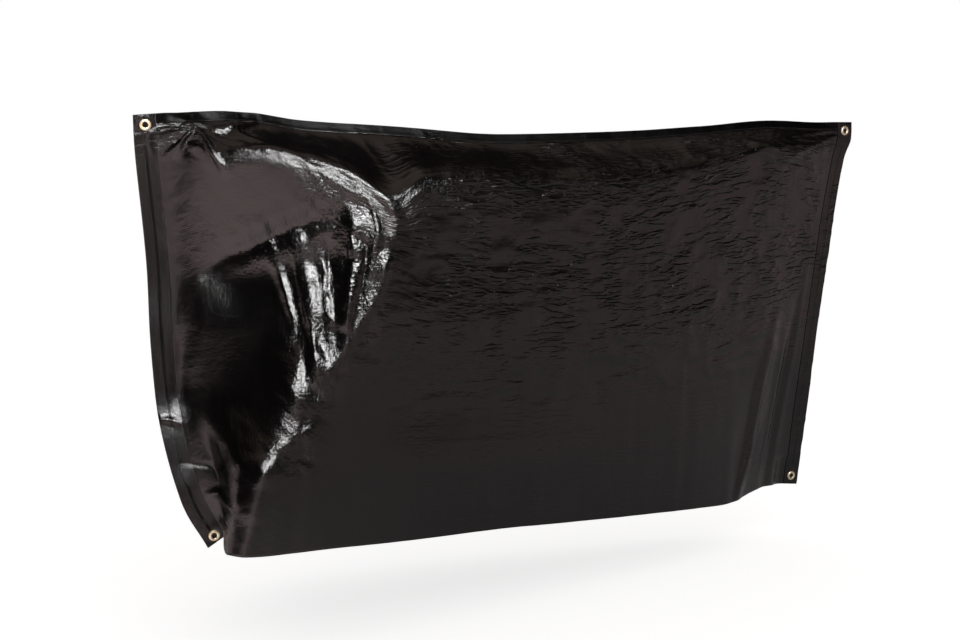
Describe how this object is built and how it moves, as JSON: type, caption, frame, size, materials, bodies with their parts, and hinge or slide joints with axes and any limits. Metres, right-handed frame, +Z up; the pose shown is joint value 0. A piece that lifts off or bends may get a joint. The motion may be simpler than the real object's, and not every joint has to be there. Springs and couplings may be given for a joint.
{
  "type": "bicycle cover",
  "caption": "Flat two-panel bag of woven plastic cloth, sewn along its top and ends and open below, with a brass eyelet in each corner, draped as over a bicycle.",
  "frame": {"origin": "under the top seam, midway along, where the bicycle inside holds the cover up", "axes": "+X along the cover to its rear end, -Y the near side, +Z up"},
  "size_m": [1.979, 0.5506, 1.047],
  "materials": {
    "cloth": "glossy black woven plastic cloth",
    "seam": "glossy black doubled seam band",
    "brass": "plated and slightly worn"
  },
  "bodies": {
    "root": {"near_panel": "cloth", "far_panel": "cloth", "top_band": "seam", "front_band": "seam", "rear_band": "seam", "eyelet_front_top": "brass", "eyelet_front_low": "brass", "eyelet_rear_top": "brass", "eyelet_rear_low": "brass", "washer_front_top": "brass", "washer_front_low": "brass", "washer_rear_top": "brass", "washer_rear_low": "brass"}
  },
  "joints": []
}
